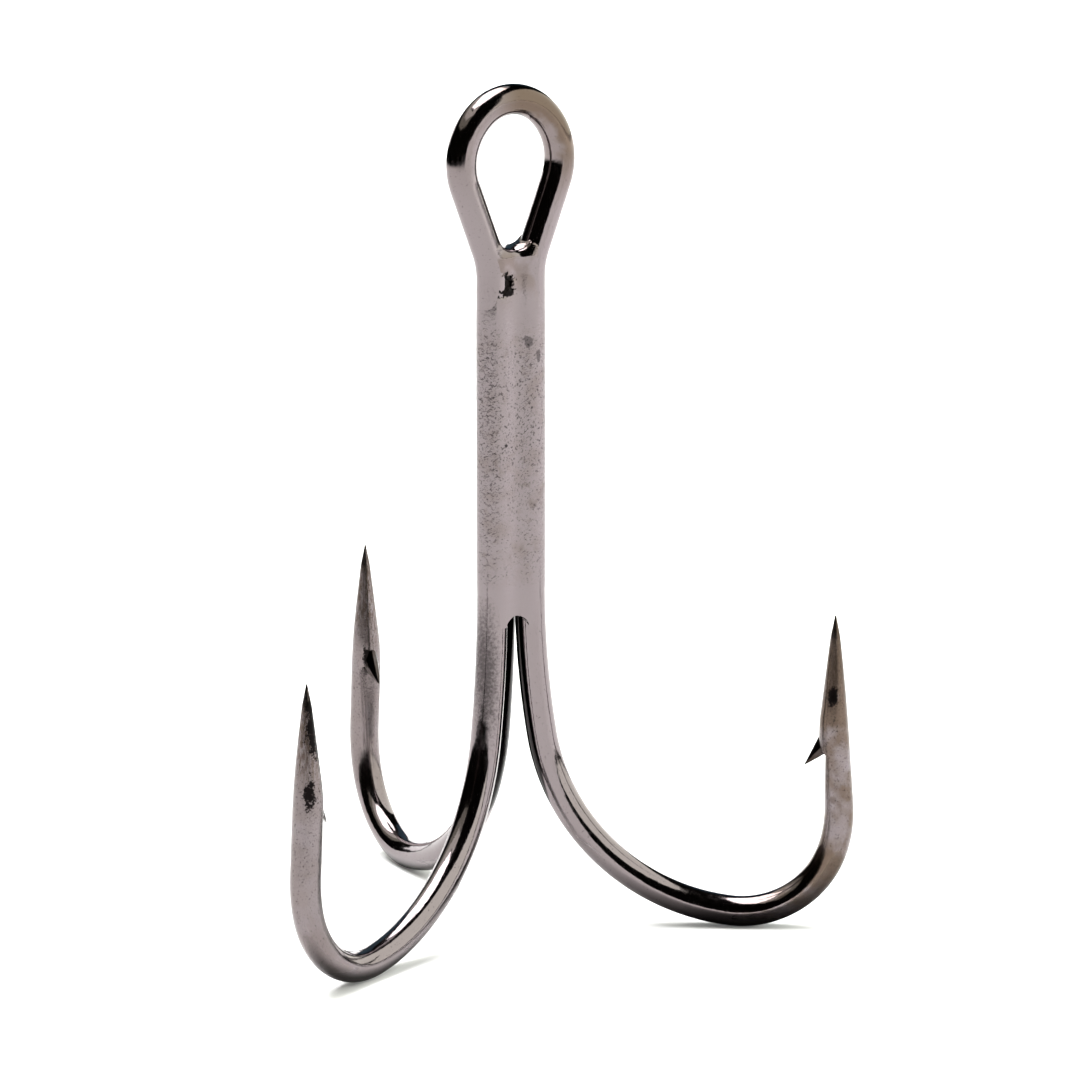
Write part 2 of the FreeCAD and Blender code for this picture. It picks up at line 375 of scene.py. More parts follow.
def barb(line, drop):
    """The chip lifted from the wire's inner side: half-round sections from its tip down to its root."""
    up = line.forward()
    inward = line.left()

    def place(spot):
        return line.place - up * (drop + spot[0]) + inward * spot[1]

    tip = place(BARB_TIP)
    axis = (place(BARB_ROOT) - tip) / np.linalg.norm(place(BARB_ROOT) - tip)
    rise = up - axis * (up @ axis)
    rise /= np.linalg.norm(rise)
    across = np.cross(rise, axis)
    turned = np.linspace(0.0, 2.0 * math.pi, BARB_COLUMNS, endpoint=False)
    wave = np.sin(turned)
    rings, marks = [], []
    for from_tip in np.linspace(0.0, 1.0, BARB_RINGS) ** BARB_CROWDING * BARB_LENGTH:
        height = TIP_RADIUS / 2.0 + BARB_SLOPE * from_tip
        half_width = BARB_HALF_WIDTH * (1.0 - np.exp(-height / BARB_HALF_WIDTH))
        lift = height * np.where(wave > 0.0, wave, BARB_UNDERSIDE * wave)
        centre = tip + axis * from_tip
        rings.append(centre + np.outer(half_width * np.cos(turned), across) + np.outer(lift, rise))
        marks.append(unrolled(-from_tip - TIP_RADIUS, turned))
    return surface_mesh(np.array(rings), np.array(marks))


# The braze skin: one star-shaped surface round the shank, a level at a time.

def outside_leg(x, y, z):
    """The distance outside the right leg's wire, from the lower part of the eye down."""
    start_x, start_drop, _ = eye_run()
    from_turn = LEG_X + NECK_RADIUS - x
    above_turn = z + neck_drop()
    turned = np.arctan2(above_turn, from_turn)
    curved = NECK_RADIUS - np.hypot(from_turn, above_turn)
    sloping = (x - start_x) * cos(EYE_CLOSING_ANGLE) - (z + start_drop) * sin(EYE_CLOSING_ANGLE)
    above_shank = np.where(turned < math.radians(EYE_CLOSING_ANGLE), curved, sloping)
    aside = np.where(turned < 0.0, x - LEG_X, above_shank)
    return np.hypot(aside, y) - WIRE_RADIUS


def shank_distance(x, y, z):
    """The distance outside the blended outline of the two legs and the single hook's wire."""
    above_single = np.clip(z + SINGLE_TOP_DROP, 0.0, None)
    single = np.sqrt(x * x + (y - SINGLE_Y) ** 2 + above_single ** 2) - WIRE_RADIUS
    up_the_pool = np.clip((z + POOL_START_DROP) / (POOL_START_DROP - SADDLE_DROP - SADDLE_ROUNDING), 0.0, 1.0)
    fill = FRONT_FILL + POOL_FILL * up_the_pool ** 2
    legs = smooth_union(outside_leg(x, y, z), outside_leg(-x, y, z), fill)
    return smooth_union(legs, single, SIDE_FILL) - SKIN_THICKNESS


def skin_places(reach, angles, levels):
    """The places at a reach from the skin's middle line, as (x, y, z)."""
    return reach * np.cos(angles), SKIN_CENTRE_Y + reach * np.sin(angles), levels


def skin_reach(angles, levels):
    """From the skin's middle line out to its surface, for arrays of directions and levels."""
    near = np.zeros_like(angles)
    far = np.full_like(angles, SKIN_SEARCH_REACH)
    for _ in range(SKIN_SEARCH_STEPS):
        middle = (near + far) / 2.0
        inside = shank_distance(*skin_places(middle, angles, levels)) < 0.0
        near = np.where(inside, middle, near)
        far = np.where(inside, far, middle)
    return near


def skin_end(angles):
    """The level where the skin ends: an arch across each groove between two wires."""
    share = np.ones_like(angles)
    for direction, half_width in GROOVES:
        apart = np.abs((angles - math.radians(direction) + math.pi) % (2.0 * math.pi) - math.pi)
        share = np.minimum(share, apart / math.radians(half_width))
    return -CROTCH_DROP - CROTCH_ARCH_RADIUS * (1.0 - np.sqrt(1.0 - share * share))


def rough_noise(point, size):
    """Three octaves of noise round zero, with features of a size."""
    return noise.fractal(Vector(point) / size, 1.0, 2.0, 3)


def skin_relief(points):
    """How far the skin stands off its smooth shape: slightly uneven all over, with one deep ragged pit."""
    relief = np.empty(len(points))
    for i, point in enumerate(points):
        relief[i] = SKIN_UNEVENNESS * rough_noise(point, SKIN_UNEVENNESS_SIZE)
        from_pit = math.hypot(point[0] - PIT[0], point[2] - PIT[1]) / PIT_RADIUS
        if point[1] < 0.0 and from_pit < PIT_REACH:
            frayed = from_pit * (1.0 + PIT_EDGE_FRAYING * rough_noise(point, PIT_EDGE_SIZE))
            relief[i] -= PIT_DEPTH * math.exp(-frayed ** 4)
    return relief


def saddle_rise(x):
    """How far the hollow at the bottom of the eye's hole has risen, at a distance from the middle."""
    aside = np.clip(np.abs(x), 0.0, SADDLE_HALF_WIDTH)
    return SADDLE_RADIUS - np.sqrt(SADDLE_RADIUS ** 2 - aside ** 2)


def skin_sides():
    """Rings from the lower end up to the rim, and how far the top is rounded in each direction."""
    angles = np.linspace(-math.pi, math.pi, SKIN_COLUMNS, endpoint=False)
    ends = skin_end(angles)
    at_back = smoothstep(np.sin(angles), BACK_START, BACK_FULL)
    rounding = SADDLE_ROUNDING + BACK_ROUNDING * at_back
    rim_level = -SADDLE_DROP - rounding
    rim_level = rim_level + saddle_rise(skin_reach(angles, rim_level) * np.cos(angles))
    levels = math.ceil((CROTCH_DROP - SADDLE_DROP) / SKIN_STEP)
    rings = []
    for share in np.linspace(0.0, 1.0, levels):
        z = ends + (rim_level - ends) * share
        reach = skin_reach(angles, z)
        outline = np.stack(skin_places(reach, angles, z), 1)
        sunk_below = 1.0 - smoothstep(z + CROTCH_DROP, 0.0, SKIN_END_FADE)
        sunk_above = smoothstep(z, -NECK_FADE_TOP - NECK_FADE, -NECK_FADE_TOP) * (1.0 - at_back)
        reach = reach - END_SINK * sunk_below - NECK_SINK * sunk_above + skin_relief(outline)
        rings.append(np.stack(skin_places(reach, angles, z), 1))
    return rings, rounding


def shrunk_ring(ring, share):
    """The ring's x and y, drawn in towards the skin's middle line."""
    return ring[:, 0] * share, SKIN_CENTRE_Y + (ring[:, 1] - SKIN_CENTRE_Y) * share


def skin_top(rim, rounding):
    """Rings over the top, rounded through the eye's hole and hollow across it."""
    rings = []
    for turned in np.linspace(0.0, LAST_RING_TURN, SKIN_TOP_RINGS)[1:]:
        x, y = shrunk_ring(rim, cos(turned))
        fall = rounding * (1.0 - sin(turned))
        rings.append(np.stack((x, y, saddle_rise(x) - SADDLE_DROP - fall), 1))
    return rings


def skin_foot(lowest):
    """Rings under the lower end, in an arch as deep as the wires' grooves. The innermost is first."""
    rings = []
    for share in np.linspace(*SKIN_FOOT_SHARES):
        x, y = shrunk_ring(lowest, share)
        z = -CROTCH_DROP + (lowest[:, 2] + CROTCH_DROP) * share ** 2
        rings.insert(0, np.stack((x, y, z), 1))
    return rings


def skin_surface():
    """The whole skin, with its own points as the places for the textures."""
    sides, rounding = skin_sides()
    points = np.array(skin_foot(sides[0]) + sides + skin_top(sides[-1], rounding))
    return points, points


# Materials.

def node(tree, kind, place, **values):
    made = tree.nodes.new(kind)
    made.location = place
    for name, value in values.items():
        setattr(made, name, value)
    return made


def noise_at(tree, place, size, detail, seed):
    """Noise with features of a size, from 0 to 1."""
    shifted = node(tree, "ShaderNodeVectorMath", (-1000, 0), operation="ADD")
    shifted.inputs[1].default_value = (seed, seed, seed)
    tree.links.new(place, shifted.inputs[0])
    texture = node(tree, "ShaderNodeTexNoise", (-800, 0))
    texture.inputs["Scale"].default_value = 1.0 / size
    texture.inputs["Detail"].default_value = detail
    tree.links.new(shifted.outputs["Vector"], texture.inputs["Vector"])
    return texture.outputs["Fac"]


def ramp(tree, value, start, end, low, high):
    """A smooth step, from low at the start to high at the end."""
    made = node(tree, "ShaderNodeMapRange", (-600, 0), interpolation_type="SMOOTHSTEP")
    made.inputs["From Min"].default_value = start
    made.inputs["From Max"].default_value = end
    made.inputs["To Min"].default_value = low
    made.inputs["To Max"].default_value = high
    tree.links.new(value, made.inputs["Value"])
    return made.outputs["Result"]


def combined(tree, operation, first, second):
    """Two values added, multiplied or the like, each given as a number or as a socket."""
    made = node(tree, "ShaderNodeMath", (-500, 0), operation=operation)
    for socket, value in zip(made.inputs, (first, second)):
        if isinstance(value, float):
            socket.default_value = value
        else:
            tree.links.new(value, socket)
    return made.outputs["Value"]


def highest(tree, *values):
    top = values[0]
    for value in values[1:]:
        top = combined(tree, "MAXIMUM", top, value)
    return top


def pattern(tree, place, look, more=None):
    """A pattern of noise from 0 up to its strength, with more of it where the added value is higher."""
    size, detail, seed, start, end, strength = look
    level = noise_at(tree, place, size, detail, seed)
    if more is not None:
        level = combined(tree, "ADD", level, more)
    return ramp(tree, level, start, end, 0.0, strength)


def tinted(tree, factor, first, second):
    """A mix of two colours, each given as values or as a socket."""
    made = node(tree, "ShaderNodeMix", (-400, 0), data_type="RGBA")
    for name, value in (("A", first), ("B", second)):
        if isinstance(value, tuple):
            made.inputs[name].default_value = (*value, 1.0)
        else:
            tree.links.new(value, made.inputs[name])
    tree.links.new(factor, made.inputs["Factor"])
    return made.outputs["Result"]


def bumped(tree, height, depth, below=None):
    """Bumps of a height from 0 to 1 times the depth, on top of any bumps below."""
    made = node(tree, "ShaderNodeBump", (-300, 0))
    made.inputs["Strength"].default_value = 1.0
    made.inputs["Distance"].default_value = depth
    tree.links.new(height, made.inputs["Height"])
    if below is not None:
        tree.links.new(below, made.inputs["Normal"])
    return made.outputs["Normal"]


def new_metal(name):
    """A bare metal, and the places on it that its textures follow."""
    material = bpy.data.materials.new(name)
    material.use_nodes = True
    tree = material.node_tree
    shader = tree.nodes["Principled BSDF"]
    shader.inputs["Metallic"].default_value = 1.0
    place = node(tree, "ShaderNodeAttribute", (-1200, 0), attribute_name="place_on_wire").outputs["Vector"]
    return material, tree, shader, place


def object_place(tree):
    return node(tree, "ShaderNodeTexCoord", (-1200, -300)).outputs["Object"]


def coordinate(tree, place, axis):
    made = node(tree, "ShaderNodeSeparateXYZ", (-1000, -300))
    tree.links.new(place, made.inputs["Vector"])
    return made.outputs[axis]


def scaled_place(tree, place, scale):
    made = node(tree, "ShaderNodeVectorMath", (-700, 0), operation="MULTIPLY")
    made.inputs[1].default_value = scale
    tree.links.new(place, made.inputs[0])
    return made.outputs["Vector"]


def distance_from(tree, place, centre, scale):
    """The distance from a place, with each axis scaled first."""
    offset = node(tree, "ShaderNodeVectorMath", (-800, 0), operation="SUBTRACT")
    offset.inputs[1].default_value = centre
    tree.links.new(place, offset.inputs[0])
    length = node(tree, "ShaderNodeVectorMath", (-600, 0), operation="LENGTH")
    tree.links.new(scaled_place(tree, offset.outputs["Vector"], scale), length.inputs[0])
    return length.outputs["Value"]


def ragged_edge(tree, place, size, spread):
    """Noise round zero that frays the edge of a mark."""
    centred = combined(tree, "SUBTRACT", noise_at(tree, place, size, FRAY_DETAIL, FRAY_SEED), 0.5)
    return combined(tree, "MULTIPLY", centred, spread)


def dark_spot(tree, place, centre, half_sizes, ragged, softness):
    """1 inside a ragged-edged ellipsoid and 0 outside."""
    distance = distance_from(tree, place, centre, [1.0 / size for size in half_sizes])
    frayed = combined(tree, "ADD", distance, ragged)
    return ramp(tree, frayed, 1.0 - softness, 1.0 + softness, 1.0, 0.0)


MAUVE_GREY = (0.150, 0.128, 0.132)
BROWN_GREY = (0.085, 0.062, 0.049)
BROWN_STAIN = (0.060, 0.043, 0.033)
# Black for real specks and stains, and for painted shade and painted dark reflections.
BLACK_STAIN_AND_SHADE = (0.005, 0.004, 0.004)
FRAY_DETAIL = 4.0
FRAY_SEED = 8.0

# The wire's plating. Each ramp: the places where it starts and ends, and its values there.
GROUND_LENGTH = 5.5 * MM            # below the tip, over which the grinding has left brown marks
SPEAR_REACH = 18.0 * MM             # below the tip, over which the wire has browned
SATIN_REACH = 14.0 * MM             # below the tip, over which the wire is less glossy
BROWN_ACROSS = (4.0 * MM, 9.0 * MM, 0.25, 1.0)      # along x: the right hook is the brownest
BROWN_BELOW_TIP = (0.7 * SPEAR_REACH, SPEAR_REACH, 1.0, 0.15)
SCRATCHED_BELOW_TIP = (0.5 * GROUND_LENGTH, GROUND_LENGTH, 1.0, 0.0)
FRECKLED_BELOW_TIP = (5.0 * MM, SPEAR_REACH, 0.07, 0.0)
SATIN_BELOW_TIP = (0.6 * SATIN_REACH, SATIN_REACH, 0.13, 0.0)
BARB_BELOW_TIP = (-0.05 * MM, 0.0, 1.0, 0.0)        # the barbs' own places lie below zero
# Painted reflection: the eye's crown and right side are tinted brown.
BROWN_FROM_HOLE = (EYE_HALF_WIDTH - 0.45 * MM, EYE_HALF_WIDTH + 0.05 * MM, 0.3, 1.0)
BROWN_TO_RIGHT = (-1.5 * MM, 0.3 * MM, 0.25, 1.0)
BROWN_UP_THE_EYE = (-3.0 * MM, 1.2 * MM, 0.0, 1.0)
SLOT_CENTRE = (0.0, 0.38 * MM, 0.0)
# Painted shade: the flanks of the two legs that face each other in the slot below the braze are blackened.
SLOT_PAINTED_SHADE = (0.80 * MM, 0.90 * MM, 0.95, 0.0)       # the wires' flanks facing each other are black

# Its patterns: size, detail and seed, the noise levels where it starts and is full, and its strength.
MOTTLING = (1.4 * MM, 5.0, 0.0, 0.28, 0.58, 1.0)
WIRE_STAINS = (0.55 * MM, 6.0, 3.0, 0.56, 0.72, 0.6)
SCRATCHES = (0.13 * MM, 5.0, 7.0, 0.38, 0.60, 0.9)
FRECKLES = (0.09 * MM, 4.0, 13.0, 0.62, 0.78, 0.7)
EYE_FRAYING = (0.5 * MM, 0.9 * MM)                  # size and spread, as for the next three
LEG_SHADE_FRAYING = (0.12 * MM, 2.2)
COARSE_BLOTCHES = (0.26 * MM, 2.0)
FINE_BLOTCHES = (0.08 * MM, 1.6)

# Its marks, grain and waves.
# Painted shade: a dark patch on the left leg's left flank, just below the braze.
LEG_SHADE_CENTRE = (-1.55 * MM, -0.35 * MM, -24.0 * MM)
LEG_SHADE_HALF_SIZES = (0.42 * MM, 0.80 * MM, 2.6 * MM)
LEG_SHADE_SOFTNESS = 0.75
LEG_SHADE_DARKNESS = 0.7
# Painted shade: the barbs are darkened all over.
BARB_PAINTED_SHADE = 0.65
# Painted reflection: dark marks on the side of each spear nearly facing the camera, where the spears show
# dark reflections.
DARK_REFLECTION_SIDE = -112.0                # the bearing on which the spears are marked
MARK_SOFTNESS = 0.2
SPEAR_DARK_REFLECTIONS = (
    # Hook, distance below its tip, half width and half length of each painted dark reflection.
    ("right", 3.7 * MM, 0.24 * MM, 0.46 * MM),
    ("left", 2.2 * MM, 0.30 * MM, 2.0 * MM),
    ("left", 4.9 * MM, 0.24 * MM, 0.75 * MM),
    ("single", 5.4 * MM, 0.26 * MM, 0.45 * MM),
)
DRAWN_SCALE = (1.0 / 3.0, 1.0, 1.0)     # the grain and scratches are drawn out along the wire
WIRE_GRAIN = (0.12 * MM, 3.0, 9.0)
WIRE_GRAIN_DEPTH = 0.0024 * MM
WIRE_ROUGHNESS = (0.35, 0.70, 0.07, 0.14)           # by the grain
WAVES = (0.8 * MM, 2.0, 11.0)
WAVE_DEPTH = 0.006 * MM


def painted_spear_reflections(tree, place, ragged):
    """The painted dark reflections on the spears, as one value from 0 to 1."""
    lines = {"right": leg_line("right", 1), "left": leg_line("left", -1), "single": single_line()}
    spots = []
    for name, below_tip, half_width, half_length in SPEAR_DARK_REFLECTIONS:
        line = lines[name]
        centre = line.place - line.forward() * below_tip + compass(DARK_REFLECTION_SIDE) * ground_radius(below_tip)
        half_sizes = (half_width, half_width, half_length)
        spots.append(dark_spot(tree, place, centre, half_sizes, ragged, MARK_SOFTNESS))
    return highest(tree, *spots)


def slot_painted_shade(tree, place):
    """How much painted shade blackens the flanks that face into the slot below the braze, following the wires
    as they part.
    """
    aside = distance_from(tree, place, SLOT_CENTRE, (1.0, 1.0, 0.0))
    below_shank = combined(tree, "SUBTRACT", -SHANK_DROP, coordinate(tree, place, "Z"))
    along_bend = combined(tree, "MAXIMUM", below_shank, 0.0)
    squared = combined(tree, "MULTIPLY", along_bend, along_bend)
    parted = combined(tree, "DIVIDE", squared, 2.0 * BEND_ARCS[0][0])
    return ramp(tree, combined(tree, "SUBTRACT", aside, parted), *SLOT_PAINTED_SHADE)


def eye_brown_reflection(tree, place):
    """How much painted brown reflection tints the eye: round its crown and down its right side, away from the
    hole.
    """
    from_hole = distance_from(tree, place, (0.0, 0.0, 0.0), (1.0, 0.0, 1.0))
    frayed = combined(tree, "ADD", from_hole, ragged_edge(tree, place, *EYE_FRAYING))
    outer = ramp(tree, frayed, *BROWN_FROM_HOLE)
    to_right = ramp(tree, coordinate(tree, place, "X"), *BROWN_TO_RIGHT)
    upper = ramp(tree, coordinate(tree, place, "Z"), *BROWN_UP_THE_EYE)
    return combined(tree, "MULTIPLY", combined(tree, "MULTIPLY", outer, to_right), upper)


def wire_browns(tree, place, solid):
    """The wire's colour under its black marks: grey, browned on the spears, tinted brown on the eye as a
    painted reflection, and stained.
    """
    below_tip = coordinate(tree, place, "X")
    across = ramp(tree, coordinate(tree, solid, "X"), *BROWN_ACROSS)
    browned = combined(tree, "MULTIPLY", ramp(tree, below_tip, *BROWN_BELOW_TIP), across)
    mottled = combined(tree, "MULTIPLY", pattern(tree, place, MOTTLING), browned)
    # The mottling, and the painted brown reflection on the eye.
    clouds = highest(tree, mottled, eye_brown_reflection(tree, solid))
    stained = combined(tree, "MULTIPLY", pattern(tree, place, WIRE_STAINS), browned)
    scratches = pattern(tree, scaled_place(tree, place, DRAWN_SCALE), SCRATCHES)
    scratched = combined(tree, "MULTIPLY", ramp(tree, below_tip, *SCRATCHED_BELOW_TIP), scratches)
    colour = tinted(tree, clouds, MAUVE_GREY, BROWN_GREY)
    return tinted(tree, highest(tree, stained, scratched), colour, BROWN_STAIN)


def wire_blacks(tree, place, solid, on_barb):
    """How black the wire is: freckled spears with painted dark reflections, and painted shade on the barbs,
    on the left leg below the braze and on the flanks in the slot.
    """
    freckled = ramp(tree, coordinate(tree, place, "X"), *FRECKLED_BELOW_TIP)
    freckles = pattern(tree, place, FRECKLES, freckled)
    coarse = ragged_edge(tree, solid, *COARSE_BLOTCHES)
    fine = ragged_edge(tree, solid, *FINE_BLOTCHES)
    # Painted dark reflections on the spears.
    marks = painted_spear_reflections(tree, solid, combined(tree, "ADD", coarse, fine))
    # Painted shade on the barbs.
    barbs = combined(tree, "MULTIPLY", on_barb, BARB_PAINTED_SHADE)
    # Painted shade on the left leg's flank below the braze.
    frayed = ragged_edge(tree, solid, *LEG_SHADE_FRAYING)
    leg_shade = dark_spot(tree, solid, LEG_SHADE_CENTRE, LEG_SHADE_HALF_SIZES, frayed, LEG_SHADE_SOFTNESS)
    leg_shade = combined(tree, "MULTIPLY", leg_shade, LEG_SHADE_DARKNESS)
    return highest(tree, freckles, marks, barbs, leg_shade, slot_painted_shade(tree, solid))


def wire_plating():
    """Dark nickel plating with a soft grain, browned and blackened in places, partly by painted shade and
    painted reflections.
    """
    material, tree, shader, place = new_metal("wire_plating")
    solid = object_place(tree)
    below_tip = coordinate(tree, place, "X")
    on_barb = ramp(tree, below_tip, *BARB_BELOW_TIP)
    black = wire_blacks(tree, place, solid, on_barb)
    colour = tinted(tree, black, wire_browns(tree, place, solid), BLACK_STAIN_AND_SHADE)
    tree.links.new(colour, shader.inputs["Base Color"])
    grain = noise_at(tree, scaled_place(tree, place, DRAWN_SCALE), *WIRE_GRAIN)
    off_barb = combined(tree, "SUBTRACT", 1.0, on_barb)
    satin = combined(tree, "MULTIPLY", ramp(tree, below_tip, *SATIN_BELOW_TIP), off_barb)
    gloss = ramp(tree, grain, *WIRE_ROUGHNESS)
    tree.links.new(combined(tree, "ADD", gloss, satin), shader.inputs["Roughness"])
    waves = bumped(tree, noise_at(tree, place, *WAVES), WAVE_DEPTH)
    tree.links.new(bumped(tree, grain, WIRE_GRAIN_DEPTH, waves), shader.inputs["Normal"])
    return material


# The braze's plating, by height, with ramps and patterns as for the wire's.
BRAZE_TOP = (-8.8 * MM, -6.6 * MM, 0.0, 1.0)        # over its ends it looks like the wire's plating
BRAZE_END = (-20.6 * MM, -19.0 * MM, 1.0, 0.0)
POOL_LEVELS = (-7.5 * MM, -4.6 * MM, 0.0, 1.0)
SPECKLED_MIDDLE = -12.0 * MM
SPECKLED_FROM_MIDDLE = (0.0, 7.0 * MM, 0.06, 0.0)
BRAZE_CLOUDS = (1.2 * MM, 5.0, 2.0, 0.45, 0.75, 0.35)
POOL_CLOUDS = (0.9 * MM, 5.0, 14.0, 0.35, 0.65, 0.55)
BRAZE_STAINS = (0.5 * MM, 6.0, 4.0, 0.56, 0.76, 0.35)
SPECKS = (0.10 * MM, 3.0, 6.0, 0.60, 0.74, 0.75)
PIMPLES = (0.17 * MM, 3.0, 12.0, 0.45, 0.75, 1.0)
PIMPLE_DEPTH = 0.008 * MM
BRAZE_GRAIN = (0.13 * MM, 4.0, 10.0)
BRAZE_GRAIN_DEPTH = 0.0035 * MM
BRAZE_ROUGHNESS = (0.35, 0.70, 0.07, 0.15)          # by the grain
BRAZE_DULLING = 0.06                # how much rougher the braze is between its ends
SPOT_FRAYING = (0.20 * MM, 1.5)
SPOT_SOFTNESS = 0.15
BRAZE_MARKS_AND_PIT_SHADE = (
    # Centre, half sizes and strength of each dark mark in the braze. The first two are painted shade in the
    # pit beside the left leg.
    ((-0.60 * MM, -0.50 * MM, -5.55 * MM), (0.44 * MM, 0.9 * MM, 0.52 * MM), 1.0),
    ((-0.90 * MM, -0.50 * MM, -5.95 * MM), (0.80 * MM, 0.9 * MM, 0.26 * MM), 1.0),
    ((-0.61 * MM, -0.70 * MM, -13.15 * MM), (0.08 * MM, 0.5 * MM, 0.08 * MM), 0.9),
    ((0.53 * MM, -0.70 * MM, -8.35 * MM), (0.22 * MM, 0.5 * MM, 0.30 * MM), 0.55),
    ((1.05 * MM, -0.70 * MM, -9.05 * MM), (0.12 * MM, 0.5 * MM, 0.32 * MM), 0.55),
)


def braze_browns(tree, place, level, off_wire):
    """The braze's colour under its black marks: grey with brown clouds and stains."""
    clouds = combined(tree, "MULTIPLY", pattern(tree, place, BRAZE_CLOUDS), off_wire)
    in_pool = ramp(tree, level, *POOL_LEVELS)
    pool_clouds = combined(tree, "MULTIPLY", pattern(tree, place, POOL_CLOUDS), in_pool)
    stains = combined(tree, "MULTIPLY", pattern(tree, place, BRAZE_STAINS), off_wire)
    colour = tinted(tree, highest(tree, clouds, pool_clouds), MAUVE_GREY, BROWN_GREY)
    return tinted(tree, stains, colour, BROWN_STAIN)


def braze_blacks(tree, place, level, off_wire, colour):
    """The colour with specks, thickest halfway down the braze, and a few dark marks, two of them painted
    shade in the pit.
    """
    from_middle = combined(tree, "ABSOLUTE", combined(tree, "SUBTRACT", level, SPECKLED_MIDDLE), 0.0)
    crowding = ramp(tree, from_middle, *SPECKLED_FROM_MIDDLE)
    specks = combined(tree, "MULTIPLY", pattern(tree, place, SPECKS, crowding), off_wire)
    colour = tinted(tree, specks, colour, BLACK_STAIN_AND_SHADE)
    ragged = ragged_edge(tree, place, *SPOT_FRAYING)
    for centre, half_sizes, strength in BRAZE_MARKS_AND_PIT_SHADE:
        spot = dark_spot(tree, place, centre, half_sizes, ragged, SPOT_SOFTNESS)
        colour = tinted(tree, combined(tree, "MULTIPLY", spot, strength), colour, BLACK_STAIN_AND_SHADE)
    return colour


def braze_plating():
    """The same plating over the braze: more uneven, speckled, with a few dark marks and painted shade in its
    pit.
    """
    material, tree, shader, place = new_metal("braze_plating")
    level = coordinate(tree, place, "Z")
    on_wire = highest(tree, ramp(tree, level, *BRAZE_TOP), ramp(tree, level, *BRAZE_END))
    off_wire = combined(tree, "SUBTRACT", 1.0, on_wire)
    browns = braze_browns(tree, place, level, off_wire)
    tree.links.new(braze_blacks(tree, place, level, off_wire, browns), shader.inputs["Base Color"])
    grain = noise_at(tree, place, *BRAZE_GRAIN)
    dulled = combined(tree, "MULTIPLY", off_wire, BRAZE_DULLING)
    gloss = ramp(tree, grain, *BRAZE_ROUGHNESS)
    tree.links.new(combined(tree, "ADD", gloss, dulled), shader.inputs["Roughness"])
    pimples = combined(tree, "MULTIPLY", pattern(tree, place, PIMPLES), off_wire)
    raised = bumped(tree, pimples, PIMPLE_DEPTH)
    tree.links.new(bumped(tree, grain, BRAZE_GRAIN_DEPTH, raised), shader.inputs["Normal"])
    return material


PLATED_WIRE = wire_plating()
PLATED_BRAZE = braze_plating()


# The pieces.

def double_hook_wire():
    right = leg_line("right", 1)
    left = leg_line("left", -1)
    places = left.places[:0:-1] + right.places
    inward = left.inward[:0:-1] + right.inward
    below = np.concatenate((below_tip_of(left)[:0:-1], below_tip_of(right)))
    left_count = len(left.places) - 1
    drops = [BARB_DROPS["left"]] * left_count + [BARB_DROPS["right"]] * len(right.places)
    body = surface_mesh(*ring_surface(places, inward, below, drops))
    parts = [body, barb(right, BARB_DROPS["right"]), barb(left, BARB_DROPS["left"])]
    make_object("double_hook_wire", parts, PLATED_WIRE, ["double_hook"])


def rounded_top(points, marks):
    """The same surface with a half-round end above its first ring."""
    centre = points[0].mean(0)
    end = []
    for turned in np.linspace(LAST_RING_TURN, 0.0, WIRE_END_RINGS)[:-1]:
        end.append(centre + (points[0] - centre) * cos(turned) + UP * WIRE_RADIUS * sin(turned))
    end_marks = np.repeat(marks[:1], len(end), axis=0)
    return np.concatenate((end, points)), np.concatenate((end_marks, marks))


def single_hook_wire():
    line = single_line()
    drops = [BARB_DROPS["single"]] * len(line.places)
    body = surface_mesh(*rounded_top(*ring_surface(line.places, line.inward, below_tip_of(line), drops)))
    parts = [body, barb(line, BARB_DROPS["single"])]
    make_object("single_hook_wire", parts, PLATED_WIRE, ["single_hook"])


def braze_skin():
    parts = [surface_mesh(*skin_surface())]
    nodes = ["front_braze", "left_braze", "right_braze", "eye_braze"]
    make_object("braze_skin", parts, PLATED_BRAZE, nodes)


double_hook_wire()
single_hook_wire()
braze_skin()


# The camera.

VIEW_AZIMUTH = -26.415
VIEW_ELEVATION = 13.711
VIEW_DISTANCE = 320.0 * MM
TARGET_HEIGHT = 18.585 * MM         # above the floor
TARGET_ASIDE = 1.343 * MM           # to the camera's right of the shank
LENS = 230.3
SENSOR_WIDTH = 36.0
CLIP_START = 0.01
CLIP_END = 20.0

floor_level = cad_low.z
to_camera = Vector((sin(VIEW_AZIMUTH), -cos(VIEW_AZIMUTH), 0.0))
camera_right = Vector((cos(VIEW_AZIMUTH), sin(VIEW_AZIMUTH), 0.0))


def make_camera():
    data = bpy.data.cameras.new("camera")
    data.lens = LENS
    data.sensor_width = SENSOR_WIDTH
    data.clip_start = CLIP_START
    data.clip_end = CLIP_END
    camera = bpy.data.objects.new("camera", data)
    bpy.context.scene.collection.objects.link(camera)
    axis_point = Vector((0.0, 0.0, floor_level + TARGET_HEIGHT))
    back = to_camera * cos(VIEW_ELEVATION) + Vector((0.0, 0.0, sin(VIEW_ELEVATION)))
    camera.location = axis_point + back * VIEW_DISTANCE
    aim = axis_point + camera_right * TARGET_ASIDE
    camera.rotation_mode = "QUATERNION"
    camera.rotation_quaternion = (aim - camera.location).to_track_quat("-Z", "Y")
    bpy.context.scene.camera = camera


make_camera()


# The studio's lights: flat glowing panels round the object, which the camera doesn't see.

